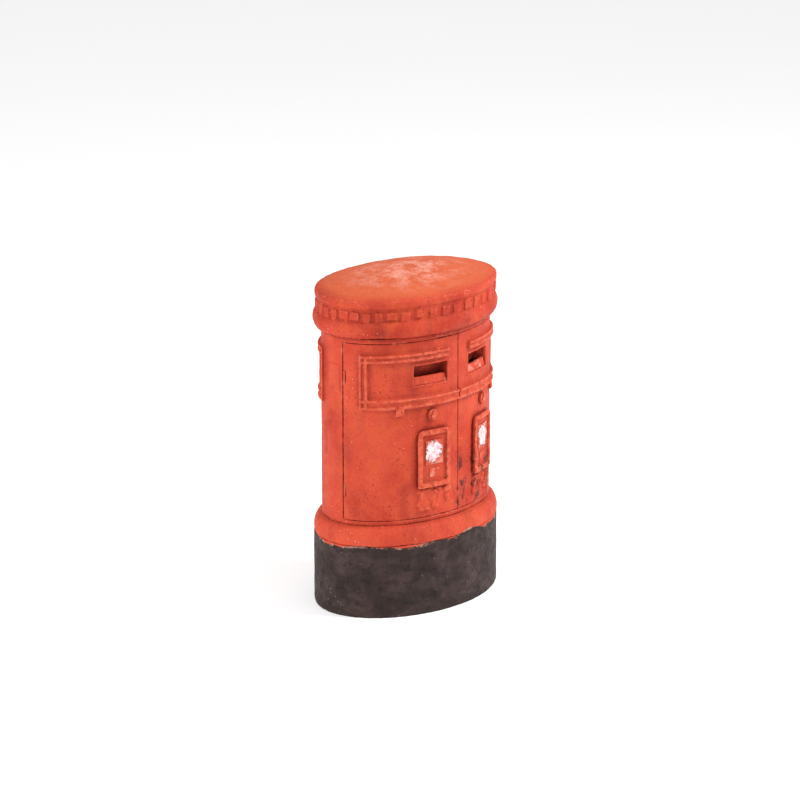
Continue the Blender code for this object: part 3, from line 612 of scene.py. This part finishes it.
# ------------------------------------------------------------ cap
bm = bmesh.new()
SEGMENTS = 240
outer = [(0.0, CAP_LOW)]
for k in range(1, 13):
    turn = math.radians(-90.0 + 180.0 * k / 12.0)
    outer.append((0.012 + 0.026 * math.cos(turn), CAP_LOW + 0.046 + 0.042 * math.sin(turn)))
outer += [
    (0.020, CAP_LOW + 0.091),
    (0.019, CAP_LOW + 0.140),
    (0.024, CAP_LOW + 0.146),
    (0.031, CAP_LOW + 0.154),
    (0.032, CAP_LOW + 0.174),
    (RIM_OUT + 0.004, CAP_LOW + 0.181),
]
rim_z = CAP_LOW + 0.183
shares = [1.0 - k / 22.0 for k in range(1, 22)]


def cap_row(scale, offset, z):
    row = []
    for index in range(SEGMENTS):
        point = oval_point(360.0 * index / SEGMENTS, offset, z)
        row.append(bm.verts.new((point.x * scale, point.y * scale, z)))
    return row


def dome(share, top, edge):
    return edge + (top - edge) * (1.0 - share**2.2)


rows = [cap_row(1.0, offset, z) for offset, z in outer]
rows += [cap_row(share, RIM_OUT, dome(share, CAP_TOP, rim_z)) for share in shares]
inner_profile = [(-0.044, CAP_LOW), (-0.044, CAP_LOW + 0.016), (0.006, CAP_LOW + 0.016)]
inner_profile.append((0.006, rim_z - 0.020))
inner = [cap_row(1.0, offset, z) for offset, z in inner_profile]
inner += [cap_row(share, 0.006, dome(share, CAP_TOP - 0.014, rim_z - 0.020)) for share in shares]
for chain in (rows, inner, [rows[0], inner[0]]):
    for near, far in zip(chain, chain[1:]):
        for k in range(SEGMENTS):
            bm.faces.new((near[k], near[(k + 1) % SEGMENTS], far[(k + 1) % SEGMENTS], far[k]))
for last, top in ((rows[-1], CAP_TOP), (inner[-1], CAP_TOP - 0.014)):
    apex = bm.verts.new((0.0, 0.0, top))
    for k in range(SEGMENTS):
        bm.faces.new((last[k], last[(k + 1) % SEGMENTS], apex))
bmesh.ops.recalc_face_normals(bm, faces=bm.faces)
random.seed(5)
for number in range(DENTILS):
    angle = 360.0 * (number + 0.5) / DENTILS + random.uniform(-0.4, 0.4)
    size = (0.040 * random.uniform(0.75, 1.10), 0.043 * random.uniform(0.80, 1.08))
    level = CAP_LOW + 0.111 + random.uniform(-0.004, 0.004)
    out = (0.012, random.uniform(0.0265, 0.0295))
    lump(bm, angle, level, size, out, turn=random.uniform(-0.14, 0.14))
lumps = ((0.12, 0.010), (0.022, 0.0028))
casting("cap_skin", bm, 0.0042, "pillar", "dome_cap", CAP_RED, lumps, 5)

# ------------------------------------------------------------ doors
for word, side in (("left", -1.0), ("right", 1.0)):
    body = f"{word}_door_leaf"
    hinge = Vector(joint_named(f"{word}_door_hinge")["pos_m"])
    bm = bmesh.new()

    def arc(profile, start, end, step=1.5):
        sweep(bm, profile, side * start, side * end, step)

    arc(band(-WALL, 0.0, DOOR_BOTTOM, DOOR_TOP), 0.14, SLOT_ANGLES[0])
    arc(band(-WALL, 0.0, DOOR_BOTTOM, SLOT_Z[0]), SLOT_ANGLES[0] - 0.5, SLOT_ANGLES[1] + 0.5)
    arc(band(-WALL, 0.0, SLOT_Z[1], DOOR_TOP), SLOT_ANGLES[0] - 0.5, SLOT_ANGLES[1] + 0.5)
    arc(band(-WALL, 0.0, DOOR_BOTTOM, DOOR_TOP), SLOT_ANGLES[1], 82.3)
    spans = [DOOR_BOTTOM - 0.0007, HINGE_LEVELS[0] - 0.029, HINGE_LEVELS[0] + 0.029]
    spans += [HINGE_LEVELS[1] - 0.029, HINGE_LEVELS[1] + 0.029, DOOR_TOP + 0.0005]
    for low, high in zip(spans[::2], spans[1::2]):
        arc(band(-WALL, 0.0, low, high), 82.0, HINGE_ANGLE)
        upright(bm, hinge, WALL / 2.0, low, high)
    arc(moulded(*BELT), 0.25, BAR_ANGLES[2])
    arc(moulded(*TOP_BAR), BAR_ANGLES[0], BAR_ANGLES[2])
    arc(band(-0.005, 0.0095, BELT[0] + 0.006, TOP_BAR[1] - 0.006), BAR_ANGLES[1], BAR_ANGLES[2])
    for start in (BAR_ANGLES[1], BAR_ANGLES[2] - 1.8):
        arc(band(-0.004, 0.0172, BELT[0] + 0.005, TOP_BAR[1] - 0.005), start, start + 1.8, 0.6)
    for low, high in ((SLOT_Z[0] - 0.010, SLOT_Z[0]), (SLOT_Z[1], SLOT_Z[1] + 0.010)):
        arc(band(-0.004, 0.0030, low, high), SLOT_ANGLES[0] - 1.2, SLOT_ANGLES[1] + 1.2)
    for start in (SLOT_ANGLES[0] - 1.3, SLOT_ANGLES[1] + 0.1):
        arc(band(-0.004, 0.0030, SLOT_Z[0] - 0.010, SLOT_Z[1] + 0.010), start, start + 1.2, 0.6)
    lump(bm, side * 42.0, 0.982, (0.040, 0.028), (-0.004, 0.016))
    for k, x_low in enumerate((0.100, 0.180)):
        y_low = -0.303 + 0.018 * k
        depth = -0.2664 - y_low
        place = Matrix.Translation((side * (x_low + 0.010), y_low + depth / 2.0, 0.981))
        bmesh.ops.create_cube(bm, size=1.0, matrix=place @ Matrix.Diagonal((0.020, depth, 0.018, 1.0)))
    random.seed(11 if side < 0 else 12)
    middle = sum(NOTICE_ANGLES[word]) / 2.0
    for k in range(34):
        shift = random.uniform(-0.085, 0.085)
        level = random.uniform(0.496, 0.594)
        size = (random.uniform(0.020, 0.046), random.uniform(0.016, 0.034))
        rise = random.uniform(0.003, 0.013)
        blob(bm, side * middle, level, size, rise, shift, random.uniform(-1.5, 1.5))
    casting(f"{word}_door_skin", bm, 0.0032, body, f"{word}_door", RED, smooth=6)

    # notice frame: a raised surround with a sunk panel
    near, far = NOTICE_ANGLES[word]
    bm = bmesh.new()
    arc(band(0.0012, 0.0085, NOTICE_Z[0], NOTICE_Z[1] - 0.026), near, far)
    inset = (far - near) * 0.145
    arc(band(0.0012, 0.0085, NOTICE_Z[0], NOTICE_Z[1]), near + inset, far - inset)
    rail = 0.024
    rail_angle = (far - near) * 0.128
    for start in (near, far - rail_angle):
        arc(band(0.002, 0.0200, NOTICE_Z[0], NOTICE_Z[1] - 0.026), start, start + rail_angle)
    arc(band(0.002, 0.0200, NOTICE_Z[0], NOTICE_Z[0] + rail), near, far)
    arc(band(0.002, 0.0200, NOTICE_Z[1] - rail, NOTICE_Z[1]), near + inset, far - inset)
    for angle, outward in ((near + inset, -side), (far - inset, side)):
        stud(bm, side * angle, NOTICE_Z[1] - 0.026, (0.026, 0.026), (0.0012, 0.0082))
        for k in range(8):
            turn = math.radians(90.0 * k / 7.0)
            level = NOTICE_Z[1] - 0.026 + 0.014 * math.sin(turn)
            shift = outward * 0.014 * math.cos(turn)
            stud(bm, side * angle, level, (0.012, 0.012), (0.0012, 0.0195), 24, shift)
    node = f"{word}_notice_frame"
    casting(f"{word}_notice_skin", bm, 0.0024, body, node, RED, ((0.03, 0.0026),), 12)

    # slot hood: a bent plate behind the slot with a cheek at each end
    bm = bmesh.new()
    ends = (SLOT_ANGLES[0] - 0.6, SLOT_ANGLES[1] + 0.9)
    back_wall = -WALL - 0.0014
    plate = [(back_wall, SLOT_Z[1] + 0.020), (-0.055, SLOT_Z[1] - 0.001), (-0.071, SLOT_Z[1] - 0.070)]
    plate += [(-0.067, SLOT_Z[1] - 0.070), (-0.051, SLOT_Z[1] - 0.006), (back_wall, SLOT_Z[1] + 0.0155)]
    arc(plate, *ends)
    arc(band(-WALL - 0.0050, back_wall, SLOT_Z[1] + 0.004, SLOT_Z[1] + 0.040), *ends)
    cheek = [(back_wall, SLOT_Z[1] + 0.018), (-0.054, SLOT_Z[1] - 0.003), (-0.069, SLOT_Z[1] - 0.068)]
    cheek.append((back_wall, SLOT_Z[1] - 0.068))
    for start in (ends[0] + 0.1, ends[1] - 0.5):
        arc(cheek, start, start + 0.4, 0.2)
    node = f"{word}_slot_hood"
    # The hood takes the darkened red: painted shade inside the slot.
    casting(f"{word}_hood_skin", bm, 0.0014, body, node, HOOD_SHADE_RED, ((0.03, 0.0006),), 1)

    # lock boss: a turned disc with a raised rim
    bm = bmesh.new()
    angle = side * BOSS_ANGLE[word]
    stud(bm, angle, BOSS_Z, (0.0285, 0.0262), (0.001, 0.0130))
    node = f"{word}_lock_boss"
    casting(f"{word}_boss_skin", bm, 0.0014, body, node, RED, ((0.02, 0.0008),), 2)

# ------------------------------------------------------------ stage, light and camera
stage_mesh = bpy.data.meshes.new("studio_floor")
bm = bmesh.new()
bmesh.ops.create_grid(bm, x_segments=1, y_segments=1, size=30.0)
bm.to_mesh(stage_mesh)
bm.free()
studio = bpy.data.objects.new("studio_floor", stage_mesh)
bpy.context.scene.collection.objects.link(studio)
floor_paint = Sheet("pale_floor")
pale = floor_paint.mix(floor_paint.noise(0.5), (0.93, 0.93, 0.93), (0.96, 0.96, 0.96))
floor_paint.finish(pale, 0.9, specular=0.0)
floor_paint.shader.inputs["Emission Color"].default_value = (1.0, 1.0, 1.0, 1.0)
floor_paint.shader.inputs["Emission Strength"].default_value = 0.28
stage_mesh.materials.append(floor_paint.material)

world = bpy.data.worlds.new("studio")
bpy.context.scene.world = world
world.use_nodes = True
world.node_tree.nodes["Background"].inputs["Color"].default_value = (1.0, 1.0, 1.0, 1.0)
world.node_tree.nodes["Background"].inputs["Strength"].default_value = 0.62


def soft_light(name, place, energy, size):
    """A large square light that looks at the middle of the box."""
    data = bpy.data.lights.new(name, "AREA")
    data.energy = energy
    data.size = size
    lamp = bpy.data.objects.new(name, data)
    lamp.location = place
    lamp.rotation_euler = (Vector((0.0, 0.0, 0.8)) - Vector(place)).to_track_quat("-Z", "Y").to_euler()
    bpy.context.scene.collection.objects.link(lamp)


soft_light("key_light", (3.6, -5.0, 7.0), 640.0, 2.6)
soft_light("fill_light", (-7.0, 2.6, 4.2), 330.0, 3.0)

AZIMUTH = -48.4
ELEVATION = 16.0
DISTANCE = 17.4
FRAME_WIDTH = 3.82
AIM_RIGHT = -0.029
AIM_UP = 0.894
az, el = math.radians(AZIMUTH), math.radians(ELEVATION)
back = Vector((math.sin(az) * math.cos(el), -math.cos(az) * math.cos(el), math.sin(el)))
right = Vector((math.cos(az), math.sin(az), 0.0))
up = back.cross(right)
target = right * AIM_RIGHT + up * AIM_UP
camera_data = bpy.data.cameras.new("camera")
camera_data.lens = 36.0 * DISTANCE / FRAME_WIDTH
camera_data.sensor_width = 36.0
camera_data.clip_end = 100.0
camera = bpy.data.objects.new("camera", camera_data)
camera.location = target + back * DISTANCE
camera.rotation_euler = (-back).to_track_quat("-Z", "Y").to_euler()
bpy.context.scene.collection.objects.link(camera)
bpy.context.scene.camera = camera
bpy.context.scene.view_settings.view_transform = "Standard"
